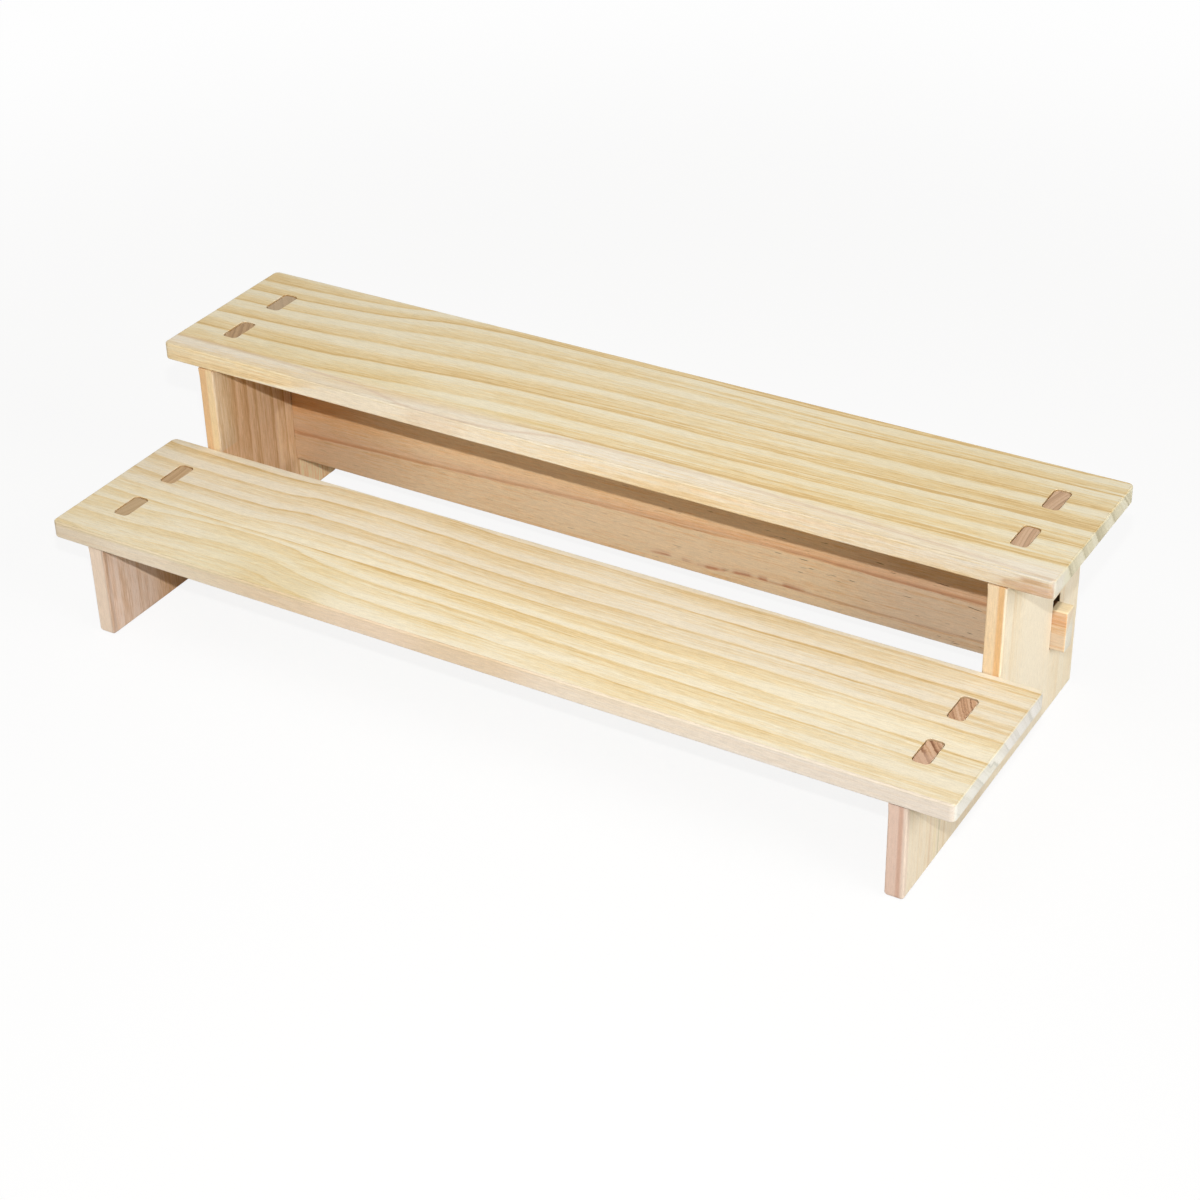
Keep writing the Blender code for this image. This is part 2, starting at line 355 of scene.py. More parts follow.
class Graph:
    """Adds nodes to a material's tree and joins them up."""

    def __init__(self, tree):
        self.nodes = tree.nodes
        self.links = tree.links

    def feed(self, socket, value):
        """Links another node's output to a socket, or sets the socket to a plain value."""
        if isinstance(value, bpy.types.NodeSocket):
            self.links.new(value, socket)
        else:
            socket.default_value = value

    def add(self, kind, **settings):
        """A new node with its settings."""
        node = self.nodes.new(kind)
        for key, value in settings.items():
            setattr(node, key, value)
        return node

    def math(self, operation, *values):
        """The result of a sum on numbers or sockets."""
        node = self.add("ShaderNodeMath", operation=operation)
        for socket, value in zip(node.inputs, values):
            self.feed(socket, value)
        return node.outputs[0]

    def times(self, first, second):
        return self.math("MULTIPLY", first, second)

    def plus(self, first, second):
        return self.math("ADD", first, second)

    def minus(self, first, second):
        return self.math("SUBTRACT", first, second)

    def length(self, first, second):
        """The length of the two sides' hypotenuse."""
        return self.math("SQRT", self.plus(self.times(first, first), self.times(second, second)))

    def centred(self, value, amount):
        """A value around a half turned into plus or minus half the amount."""
        return self.math("MULTIPLY_ADD", value, amount, -amount / 2)

    def blend(self, share, first, second):
        """A number between two others."""
        node = self.add("ShaderNodeMix", data_type="FLOAT")
        for index, value in zip(NUMBER_SOCKETS, (share, first, second)):
            self.feed(node.inputs[index], value)
        return node.outputs[0]

    def map_range(self, interpolation, *values):
        """A value moved from one range into another."""
        node = self.add("ShaderNodeMapRange", interpolation_type=interpolation)
        for socket, value in zip(node.inputs, values):
            self.feed(socket, value)
        return node.outputs[0]

    def ramp(self, value, low, high, start=0.0, end=1.0):
        """A smooth step from start to end while value goes from low to high."""
        return self.map_range("SMOOTHSTEP", value, low, high, start, end)

    def line(self, value, low, high, start=0.0, end=1.0):
        """A straight rise from start to end while value goes from low to high."""
        return self.map_range("LINEAR", value, low, high, start, end)

    def band(self, value, start, full, fade=None, end=None):
        """1 from full to fade, falling to 0 at start and end; without an end it stays 1."""
        rise = self.ramp(value, start, full)
        if end is None:
            return rise
        return self.times(rise, self.ramp(value, fade, end, 1.0, 0.0))

    def curve(self, value, points, handle="AUTO"):
        """A curve through (value, result) points."""
        places = [place for place, result in points]
        results = [result for place, result in points]
        low, high = min(results), max(results)
        if low == high:
            return low
        share = self.line(value, min(places), max(places))
        node = self.add("ShaderNodeFloatCurve")
        line = node.mapping.curves[0]
        reach = max(places) - min(places)
        for index, (place, result) in enumerate(sorted(points)):
            spot = ((place - min(places)) / reach, (result - low) / (high - low))
            if index == 0:
                line.points[0].location = spot
            elif index == len(points) - 1:
                line.points[len(line.points) - 1].location = spot
            else:
                line.points.new(*spot)
        for spot in line.points:
            spot.handle_type = handle
        node.mapping.update()
        self.links.new(share, node.inputs["Value"])
        return self.line(node.outputs[0], 0.0, 1.0, low, high)

    def split(self, vector):
        """The three parts of a vector."""
        node = self.add("ShaderNodeSeparateXYZ")
        self.feed(node.inputs[0], vector)
        return list(node.outputs)

    def noise(self, pattern, *parts):
        """Noise, 0 to 1, over three coordinates that are already scaled."""
        vector = self.add("ShaderNodeCombineXYZ")
        for socket, value in zip(vector.inputs, parts):
            self.feed(socket, value)
        node = self.add("ShaderNodeTexNoise")
        self.links.new(vector.outputs[0], node.inputs["Vector"])
        node.inputs["Scale"].default_value = 1.0
        node.inputs["Detail"].default_value = pattern.detail
        node.inputs["Roughness"].default_value = pattern.roughness
        return node.outputs["Fac"]

    def board_noise(self, pattern, place, seed):
        """Broad changes over a board's face."""
        across = self.math("MULTIPLY_ADD", place.across, pattern.across, seed)
        return self.noise(pattern, self.times(place.along, pattern.along), across, place.through)

    def ring_noise(self, pattern, along, ring, seed):
        """Changes that follow the growth rings."""
        return self.noise(pattern, self.times(along, pattern.along), self.times(ring, pattern.across), seed)

    def fibre_noise(self, pattern, along, across, through):
        """Fine marks, drawn out along the grain."""
        sides = [self.times(side, pattern.across) for side in (across, through)]
        return self.noise(pattern, self.times(along, pattern.along), *sides)

    def colours(self, value, stops):
        """A colour read from (place, colour) stops."""
        node = self.add("ShaderNodeValToRGB")
        elements = node.color_ramp.elements
        ready = len(elements)
        for index, (place, colour) in enumerate(stops):
            element = elements[index] if index < ready else elements.new(place)
            element.position = place
            element.color = colour
        self.links.new(value, node.inputs[0])
        return node.outputs["Color"]

    def mix(self, share, first, second, blend="MIX"):
        """A colour between two others."""
        node = self.add("ShaderNodeMix", data_type="RGBA", blend_type=blend)
        for index, value in zip(COLOUR_SOCKETS, (share, first, second)):
            self.feed(node.inputs[index], value)
        return node.outputs[COLOUR_RESULT]

    def shaders(self, share, first, second):
        """A surface between two others."""
        node = self.add("ShaderNodeMixShader")
        for socket, value in zip(node.inputs, (share, first, second)):
            self.feed(socket, value)
        return node.outputs[0]


# Pine

X, Y, Z = 0, 1, 2
MILLIMETRES = 1000.0

# A board's pine: the axes of its grain, its growth rings, how they wander, its colours and its marks
Wood = namedtuple(
    "Wood",
    "grain across through pith radii strengths drift width streaks fibres colours end_colours end_from"
    " tints lines flecks seed",
)
Place = namedtuple("Place", "along across through")

# Another colour inside bands of (start, full) or (start, full, fade, end) millimetres
Tint = namedtuple("Tint", "blend colour amount along across through", defaults=(None, None, None))

# A grain line through (along, across) points: it comes in within width before them, and fades out after
Line = namedtuple("Line", "points width fade colour amount patches span", defaults=(0.0, None))

# Darkness of one growth ring from its pale early wood to its dark late wood
RING_PROFILE = [
    (0.0, 0.22), (0.03, 0.1), (0.075, 0.03), (0.14, 0.0), (0.35, 0.05), (0.5, 0.27), (0.6, 0.43),
    (0.75, 0.53), (0.86, 0.64), (0.92, 0.85), (0.95, 0.95), (0.975, 0.6), (1.0, 0.22),
]

# Patterns in the wood
SLOW_BEND = Pattern(0.02, 0.05, 1.0)
ROUGH_BEND = Pattern(0.12, 0.8, 3.0)
YEAR = Pattern(0.008, 3.7, 1.0)
STREAK = Pattern(0.009, 1.0, 3.0, 0.6)
FIBRE = Pattern(0.09, 1.7, 3.0, 0.7)
DASH = Pattern(0.25, 2.4, 2.0, 0.6)
PORE = Pattern(2.2, 2.2, 2.0, 0.6)
CLOUD = Pattern(0.012, 0.06, 2.0)
PATCH = Pattern(0.13, 1.0, 1.0)
FLECK = Pattern(0.13, 1.1, 1.0)

# How far the bends move a ring or a line, in millimetres, and how strongly the other patterns show
SLOW_BEND_REACH = 1.6
ROUGH_BEND_REACH = 0.9
LINE_WANDER = 1.2
YEAR_WIDTH = 0.9
STREAK_BREAKS = 3.0
STREAK_TONE = 1.3
CLOUD_TONE = 0.8
END_STREAKS = 1.2
END_PORES = 0.5
FINE_DASHES = 0.36
FINE_PORES = 0.2
YEAR_SEED = 5.0  # keeps the years' noise apart from the streaks'

# Ramps: where one starts and ends, then what it goes from and to where that isn't 0 and 1
YEAR_STRENGTH = (0.3, 0.7, 0.75, 1.15)
LINE_BREAKS = (0.25, 0.6, 0.25, 1.0)
PATCH_EDGE = (0.42, 0.58)
FLECK_EDGE = (0.7, 0.78)
END_FACING = (0.55, 0.9)
SANDED_HIGHLIGHT_FACING = (0.99, 0.8)
SANDED_HIGHLIGHT_SHARE = (0.3, 0.7, 0.0, 0.1)
ROUGHNESS = (0.0, 1.3, 0.85, 0.65)

# Millimetres over which the end grain sets in, and the colours of sanded edges, partly a painted highlight,
# and of flecks
END_BLEND = 2.0
SANDED_HIGHLIGHT_COLOUR = linear(246, 230, 203)
FLECK_COLOUR = linear(120, 84, 58)

# Surface
FIBRE_ROUGHNESS = 0.4
SPECULAR = 0.06
BUMP_STRENGTH = 0.3
BUMP_DISTANCE = 0.0003
FIBRE_HEIGHT = 0.8
LATE_HEIGHT = 0.25


def radii_at(places, pith, reference):
    """Distances from the pith of places across a board's reference face, in millimetres."""
    return sorted(((place - pith[0]) ** 2 + (reference - pith[1]) ** 2) ** 0.5 for place in places)


def grain_shift(graph, wood, place):
    """How far the grain lines wander from straight, from curves at a few places across the board."""
    shift = graph.curve(place.along, wood.drift[0][1])
    for before, after in zip(wood.drift, wood.drift[1:]):
        share = graph.ramp(place.across, before[0], after[0])
        shift = graph.blend(share, shift, graph.curve(place.along, after[1]))
    return shift


def late_wood(graph, wood, place):
    """Darkness of the late wood, 0 to 1, in rings around the pith, and the distance from the pith."""
    slow = graph.board_noise(SLOW_BEND, place, wood.seed)
    rough = graph.board_noise(ROUGH_BEND, place, wood.seed)
    wander = graph.plus(graph.centred(slow, SLOW_BEND_REACH), graph.centred(rough, ROUGH_BEND_REACH))
    moved = graph.plus(graph.minus(place.across, grain_shift(graph, wood, place)), wander)
    side = graph.minus(moved, wood.pith[0])
    rise = graph.minus(place.through, wood.pith[1])
    distance = graph.length(side, rise)
    years = [(radius, float(index)) for index, radius in enumerate(wood.radii)]
    count = graph.curve(distance, years, "VECTOR")
    uneven = graph.ring_noise(YEAR, place.along, graph.math("FLOOR", count), wood.seed + YEAR_SEED)
    width = graph.plus(graph.curve(place.along, wood.width), graph.centred(uneven, YEAR_WIDTH))
    phase = graph.math("POWER", graph.math("FRACT", count), width)
    strength = graph.curve(distance, list(zip(wood.radii, wood.strengths)))
    strength = graph.times(strength, graph.ramp(uneven, *YEAR_STRENGTH))
    return graph.times(graph.curve(phase, RING_PROFILE), strength), distance


def line_share(graph, wood, line, place, fibre, streak):
    """How much a grain line shows, 0 to 1."""
    strayed = graph.plus(place.across, graph.centred(fibre, LINE_WANDER))
    off = graph.minus(strayed, graph.curve(place.along, line.points))
    share = graph.times(graph.band(off, -line.width, 0.0, 0.0, line.fade), line.amount)
    share = graph.times(share, graph.ramp(streak, *LINE_BREAKS))
    if line.span:
        share = graph.times(share, graph.band(place.along, *line.span))
    if line.patches:
        patch = graph.noise(PATCH, graph.times(place.along, PATCH.along), wood.seed, line.width)
        share = graph.times(share, graph.ramp(patch, *PATCH_EDGE, 1.0 - line.patches, 1.0))
    return share


def tint_share(graph, tint, place):
    """How much a tint shows, 0 to 1."""
    share = tint.amount
    for value, limits in zip(place, (tint.along, tint.across, tint.through)):
        if limits:
            share = graph.times(share, graph.band(value, *limits))
    return share


def pine(name, wood):
    """Planed pine: growth rings around a pith beside the board, so that faces, edges and end grain agree."""
    material = bpy.data.materials.new(name)
    material.use_nodes = True
    graph = Graph(material.node_tree)
    shader = graph.nodes["Principled BSDF"]
    surface = graph.add("ShaderNodeTexCoord").outputs
    axes = [graph.times(axis, MILLIMETRES) for axis in graph.split(surface["Object"])]
    normal = [graph.math("ABSOLUTE", axis) for axis in graph.split(surface["Normal"])]
    place = Place(axes[wood.grain], axes[wood.across], axes[wood.through])

    late, distance = late_wood(graph, wood, place)
    streak = graph.ring_noise(STREAK, place.along, distance, wood.seed)
    fibre = graph.fibre_noise(FIBRE, *place)
    dash = graph.fibre_noise(DASH, *place)
    pores = graph.fibre_noise(PORE, *axes)
    cloud = graph.board_noise(CLOUD, place, wood.seed)

    # Faces along the grain: rings broken by streaks, fibres and slow changes of tone, lines and flecks
    streaks = graph.curve(place.along, wood.streaks)
    broken = graph.plus(1.0, graph.times(graph.centred(streak, STREAK_BREAKS), streaks))
    tone = graph.plus(graph.times(late, broken), graph.times(graph.centred(streak, STREAK_TONE), streaks))
    tone = graph.plus(tone, graph.plus(graph.centred(fibre, wood.fibres), graph.centred(cloud, CLOUD_TONE)))
    face = graph.colours(tone, wood.colours)
    for line in wood.lines:
        face = graph.mix(line_share(graph, wood, line, place, fibre, streak), face, line.colour)
    if wood.flecks:
        spots = graph.ramp(graph.fibre_noise(FLECK, *place), *FLECK_EDGE)
        face = graph.mix(graph.times(spots, graph.curve(place.along, wood.flecks)), face, FLECK_COLOUR)

    # End grain, where the surface looks along the grain
    end_tone = graph.plus(late, graph.centred(streak, END_STREAKS))
    end_tone = graph.plus(end_tone, graph.centred(pores, END_PORES))
    end_share = graph.ramp(normal[wood.grain], *END_FACING)
    if wood.end_from:
        reach = graph.math("ABSOLUTE", place.along)
        end_share = graph.times(end_share, graph.ramp(reach, wood.end_from, wood.end_from + END_BLEND))
    colour = graph.mix(end_share, face, graph.colours(end_tone, wood.end_colours))

    # Places where the board has another colour, and the finest texture over all of it
    for tint in wood.tints:
        colour = graph.mix(tint_share(graph, tint, place), colour, tint.colour, tint.blend)
    fine = graph.plus(graph.plus(1.0, graph.centred(dash, FINE_DASHES)), graph.centred(pores, FINE_PORES))
    colour = graph.mix(1.0, colour, fine, "MULTIPLY")

    # Edges a little paler from sanding, partly a painted highlight on their rounding
    flattest = graph.math("MAXIMUM", normal[X], graph.math("MAXIMUM", normal[Y], normal[Z]))
    sanded_highlight = graph.times(graph.ramp(flattest, *SANDED_HIGHLIGHT_FACING), graph.ramp(cloud, *SANDED_HIGHLIGHT_SHARE))
    graph.links.new(graph.mix(sanded_highlight, colour, SANDED_HIGHLIGHT_COLOUR), shader.inputs["Base Color"])

    roughness = graph.line(graph.plus(late, graph.times(fibre, FIBRE_ROUGHNESS)), *ROUGHNESS)
    graph.links.new(roughness, shader.inputs["Roughness"])
    shader.inputs["Specular IOR Level"].default_value = SPECULAR
    bump = graph.add("ShaderNodeBump")
    bump.inputs["Strength"].default_value = BUMP_STRENGTH
    bump.inputs["Distance"].default_value = BUMP_DISTANCE
    height = graph.minus(graph.times(fibre, FIBRE_HEIGHT), graph.times(late, LATE_HEIGHT))
    graph.links.new(height, bump.inputs["Height"])
    graph.links.new(bump.outputs["Normal"], shader.inputs["Normal"])
    return material


def shade(red, green, blue, **place):
    """A place where the board's colour is multiplied by another."""
    return Tint("MULTIPLY", (red, green, blue, 1.0), 1.0, **place)


def stain(red, green, blue, amount, **place):
    """A place that takes on some of a colour, given as it looks on screen."""
    return Tint("MIX", linear(red, green, blue), amount, **place)


# Shelf levels and fronts, and their front edges as bands across the boards
UPPER_TOP = 94.0
LOWER_TOP = 48.5
UPPER_FRONT = 0.15
LOWER_FRONT = -80.15
UPPER_EDGE = (1.5, 1.0)
LOWER_EDGE = (-79.0, -79.5)

# Painted shade along the upper edges of the shelves, dimming the light that their rounding catches: how far
# down and in it reaches, and where the ends are
EDGE_PAINTED_SHADE = (0.92, 0.91, 0.87)
EDGE_SHADE_DOWN = (1.1, 0.7)
EDGE_SHADE_IN = (1.15, 0.55)
EDGE_SHADE_END = (198.9, 199.4)
EDGE_SHADE_OTHER_END = (-198.9, -199.4)

# Painted shade on the walls of the routed slots, below their mouths, where the gaps round the tenons lie in
# shadow: how far down it lies, and where
SLOT_PAINTED_SHADE = (0.62, 0.5, 0.4)
SLOT_DOWN = (7.0, 6.5, 0.15, 0.02)
SLOT_SIDES = [(-182.6, -182.35, -175.15, -174.9), (174.9, 175.15, 182.35, 182.6)]
UPPER_SLOTS = (10.0, 12.0, 70.0, 72.0)
LOWER_SLOTS = (-72.0, -70.0, -12.0, -10.0)

# Painted shade on the walls of the mortises and on the tenon's top inside them, where light doesn't reach
MORTISE_PAINTED_SHADE = (0.1, 0.07, 0.05)
MORTISE_RISE = (29.5, 30.5, 53.5, 54.5)
MORTISE_DEPTH = (50.2, 50.6, 58.2, 58.6)
LEFT_MORTISE = (-182.4, -182.0, -175.5, -175.1)
RIGHT_MORTISE = (175.1, 175.5, 182.0, 182.4)
TENON_TOP = (48.4, 48.9)


def shaded_upper_edges(front, top):
    """Painted shade for a shelf's upper edges, at its front and at both of its ends."""
    rise = tuple(top - down for down in EDGE_SHADE_DOWN)
    return [
        shade(*EDGE_PAINTED_SHADE, across=tuple(front + reach for reach in EDGE_SHADE_IN), through=rise),
        shade(*EDGE_PAINTED_SHADE, along=EDGE_SHADE_END, through=rise),
        shade(*EDGE_PAINTED_SHADE, along=EDGE_SHADE_OTHER_END, through=rise),
    ]


def painted_slot_shade(slots, top):
    """Painted shade for the walls of a shelf's slots, at both of its ends."""
    rise = tuple(top - down for down in SLOT_DOWN)
    return [shade(*SLOT_PAINTED_SHADE, along=side, across=slots, through=rise) for side in SLOT_SIDES]


UPPER_PITH = (160.0, 174.0)
UPPER_RINGS = [98.0, 85.0, 75.5, 65.0, 51.3, 36.0, 22.8, 9.6, -24.0, -42.0]
UPPER_WOOD = Wood(
    grain=X,
    across=Y,
    through=Z,
    pith=UPPER_PITH,
    radii=radii_at(UPPER_RINGS, UPPER_PITH, UPPER_TOP),
    strengths=[0.9, 1.0, 1.0, 0.8, 0.95, 1.0, 0.9, 0.95, 0.3, 0.3],
    drift=[
        (75.0, [(-200, -15.0), (-175, -14.3), (-137, -11.0), (-117, -6.7), (-100, -3.0), (-80, -1.0),
                (-60, 0.0), (100, 0.8), (200, 3.2)]),
        (45.0, [(-200, -16.5), (-160, -13.5), (-120, -9.5), (-100, -7.5), (-60, -3.5), (-20, -0.8), (20, 0.0),
                (60, 0.0), (100, 0.8), (150, 2.2), (200, 3.2)]),
        (12.0, [(-200, -14.0), (-140, -13.0), (-120, -10.5), (-100, -8.0), (-60, -3.5), (0, 0.0), (100, 1.5),
                (200, 3.0)]),
    ],
    width=[(-200, 0.75), (-60, 0.75), (0, 0.65), (200, 0.6)],
    streaks=[(-200, 0.25), (-60, 0.35), (20, 0.9), (200, 1.0)],
    fibres=1.4,
    colours=[
        (0.0, linear(245, 235, 207)),
        (0.35, linear(241, 223, 182)),
        (0.7, linear(235, 209, 158)),
        (1.0, linear(221, 190, 137)),
    ],
    end_colours=[(0.0, linear(241, 235, 211)), (0.4, linear(231, 223, 194)), (0.9, linear(200, 191, 162))],
    end_from=190.0,
    tints=[
        # Upper face
        shade(0.96, 0.97, 0.98, along=(60, 140)),
        shade(1.0, 0.97, 0.91, along=(40, 110, 150, 190)),
        shade(1.0, 1.0, 1.1, across=(13, 6)),
        # Front edge, paler at its left
        shade(0.92, 0.91, 0.9, across=UPPER_EDGE),
        shade(1.12, 1.15, 1.16, along=(-105, -160), across=UPPER_EDGE),
        shade(0.98, 1.0, 1.07, along=(70, 100), across=UPPER_EDGE),
        # Wedge of darker wood at the front edge's right end, with a dark upper boundary
        shade(0.93, 0.83, 0.77, along=(177, 182), across=UPPER_EDGE, through=(91.0, 89.5)),
        shade(0.93, 0.84, 0.79, along=(184, 189), across=UPPER_EDGE, through=(93.3, 92.3)),
        shade(0.9, 0.82, 0.74, along=(179.5, 181.5, 184.5, 188.0), across=UPPER_EDGE,
              through=(87.8, 88.8, 90.2, 91.2)),
        shade(0.88, 0.8, 0.74, along=(186, 189, 193, 197), across=UPPER_EDGE,
              through=(90.8, 91.6, 92.6, 93.4)),
        # Yellow streak along the front edge, and a yellow patch at the left
        shade(1.0, 0.95, 0.9, along=(40, 60, 120, 140), across=UPPER_EDGE, through=(90.5, 91.5, 92.6, 93.2)),
        shade(0.97, 0.95, 0.89, along=(-180, -155, -95, -70), across=(8, 12, 24, 34)),
        # Painted shade along the upper edges
        *shaded_upper_edges(UPPER_FRONT, UPPER_TOP),
        # Painted shade in the slots' walls
        *painted_slot_shade(UPPER_SLOTS, UPPER_TOP),
    ],
    lines=[
        Line([(-140, 1.0), (-100, 3.0), (-60, 6.5), (0, 9.5)], 7.0, 6.0, linear(241, 230, 201), 0.85,
             span=(-140, -118, -50, -10)),
        Line([(-90, 13.0), (-30, 13.0), (0, 11.0)], 1.0, 3.0, linear(232, 208, 150), 0.5,
             span=(-95, -75, -20, 0)),
        Line([(-200, 9.4), (-140, 9.0), (-110, 7.5), (-85, 3.0), (-70, 1.0), (-40, 2.0), (-20, 6.0), (0, 8.5),
              (40, 9.0), (100, 7.0), (150, 5.0), (200, 1.5)], 1.6, 1.6, linear(224, 200, 168), 0.7),
    ],
    flecks=None,
    seed=3.0,
)

LOWER_PITH = (-150.0, -50.0)
LOWER_RINGS = [-102.0, -90.0, -79.2, -68.6, -57.0, -47.0, -37.5, -27.4, -14.7, -3.0, 8.0, 20.0]
LOWER_WOOD = Wood(
    grain=X,
    across=Y,
    through=Z,
    pith=LOWER_PITH,
    radii=radii_at(LOWER_RINGS, LOWER_PITH, LOWER_TOP),
    strengths=[0.45, 0.45, 0.5, 0.55, 0.62, 0.82, 0.65, 0.7, 0.75, 0.75, 0.65, 0.65],
    drift=[
        (-50.0, [(-200, 2.5), (-180, 2.5), (-160, 4.5), (-140, 6.8), (-120, 8.0), (-105, 7.2), (-90, 4.2),
                 (-70, 1.3), (-50, 0.2), (-20, 0.3), (0, 0.0), (40, -1.2), (100, -2.6), (200, -4.2)]),
        (-46.0, [(-200, 1.0), (-150, -1.0), (-110, 0.0), (-10, 0.5), (75, -0.6), (200, -1.2)]),
        (-37.0, [(-200, 0.6), (-170, -1.2), (-140, -1.2), (-120, 0.4), (-95, 2.2), (-60, 1.8), (0, 0.0),
                 (60, 0.2), (120, 0.6), (200, 0.2)]),
    ],
    width=[(-200, 0.75), (0, 0.75), (200, 0.8)],
    streaks=[(-200, 0.4), (-60, 0.5), (200, 0.7)],
    fibres=1.15,
    colours=[
        (0.0, linear(241, 231, 205)),
        (0.35, linear(236, 218, 178)),
        (0.7, linear(227, 201, 150)),
        (1.0, linear(211, 178, 121)),
    ],
    end_colours=[(0.0, linear(248, 246, 236)), (0.4, linear(239, 236, 223)), (0.9, linear(212, 211, 199))],
    end_from=190.0,
    tints=[
        # Upper face
        shade(0.945, 0.94, 0.98, across=(-45, -30)),
        shade(0.95, 0.95, 0.96, along=(90, 170), across=(-45, -60)),
        # Front edge
        stain(234, 218, 200, 0.75, across=LOWER_EDGE),
        shade(1.06, 1.07, 1.06, along=(-120, -150), across=LOWER_EDGE),
        shade(0.98, 0.92, 0.87, along=(-130, -90, 10, 50), across=LOWER_EDGE),
        shade(0.94, 0.92, 0.86, along=(-35, -10, 12, 35), across=LOWER_EDGE),
        shade(1.0, 1.03, 1.1, along=(60, 130), across=LOWER_EDGE),
        # Yellow wood at the front left, on the upper face and over its edge
        shade(0.94, 0.9, 0.82, along=(-125, -102, -80, -60), across=(-62, -72, -79, -79.4)),
        shade(0.97, 0.96, 0.91, along=(-150, -120, -80, -50), across=(-48, -58)),
        shade(0.96, 0.95, 0.87, along=(-55, -85), across=(-78.6, -79.2), through=(46.5, 47.6)),
        shade(0.95, 0.93, 0.9, along=(-165, -185), across=LOWER_EDGE),
        # Painted shade along the upper edges
        *shaded_upper_edges(LOWER_FRONT, LOWER_TOP),
        # Painted shade in the slots' walls
        *painted_slot_shade(LOWER_SLOTS, LOWER_TOP),
    ],
    lines=[],
    flecks=None,
    seed=11.0,
)

# Bands of the side panels: their front edges, their two steps by height, and their tenon ends by height
TALL_FRONT = (3.0, 0.8, -0.3, -1.0)
TALL_FRONT_RISE = (38, 43)
LOW_FRONT = (-76.5, -78.8)
LOW_STEP = (47, 46)
HIGH_TENONS = (92.5, 93.2)
LOW_TENONS = (47, 48)
TALL_STEP = (47, 48, 84, 88)

RIGHT_FIRST_RING = 60.0
RIGHT_RING_STEP = 4.6
RIGHT_RING_COUNT = 24
RIGHT_WOOD = Wood(
    grain=Z,
    across=Y,
    through=X,
    pith=(35.0, 280.0),
    radii=[RIGHT_FIRST_RING + RIGHT_RING_STEP * step for step in range(RIGHT_RING_COUNT)],
    strengths=[0.42] * RIGHT_RING_COUNT,
    drift=[(0.0, [(0, 0.0), (45, 0.8), (90, 0.2)])],
    width=[(0, 0.75), (90, 0.7)],
    streaks=[(0, 0.3), (90, 0.4)],
    fibres=1.3,
    colours=[(0.0, linear(251, 240, 217)), (0.45, linear(247, 231, 201)), (1.0, linear(234, 212, 176))],
    end_colours=[(0.0, linear(214, 180, 150)), (0.15, linear(198, 158, 125)), (0.5, linear(138, 98, 74))],
    end_from=0.0,
    tints=[
        # Front edge of the tall step
        stain(234, 208, 171, 0.85, along=TALL_FRONT_RISE, across=TALL_FRONT, through=(182.4, 181.6)),
        stain(228, 182, 126, 0.8, along=TALL_FRONT_RISE, across=TALL_FRONT,
              through=(178.8, 180.0, 181.4, 182.0)),
        # Low step, darker: painted shade under the lower shelf's overhang
        shade(0.88, 0.86, 0.85, along=LOW_STEP, across=(-2, -12)),
        # Tenon ends
        stain(206, 172, 148, 0.6, along=LOW_TENONS, across=(-54.5, -58.0)),
        stain(214, 186, 156, 0.5, along=HIGH_TENONS),
        # Painted shade on the walls of the mortise
        shade(*MORTISE_PAINTED_SHADE, along=MORTISE_RISE, across=MORTISE_DEPTH, through=RIGHT_MORTISE),
        # Front edge of the low step
        stain(225, 194, 178, 0.85, across=LOW_FRONT, through=(182.4, 181.4)),
        stain(202, 158, 134, 0.6, across=LOW_FRONT, through=(178.8, 179.8, 180.4, 181.3)),
        stain(232, 212, 195, 0.8, across=LOW_FRONT, through=(180.8, 181.5)),
    ],
    lines=[
        Line([(0, -58.0), (45, -57.5)], 2.0, 2.2, linear(224, 188, 146), 0.45),
        Line([(0, -53.6), (45, -53.2)], 0.9, 1.0, linear(246, 234, 188), 0.7),
        Line([(0, -50.5), (45, -49.5)], 1.2, 1.2, linear(206, 198, 160), 0.7),
        Line([(0, -45.5), (45, -45.0)], 1.5, 2.0, linear(222, 192, 140), 0.45),
    ],
    flecks=None,
    seed=23.0,
)

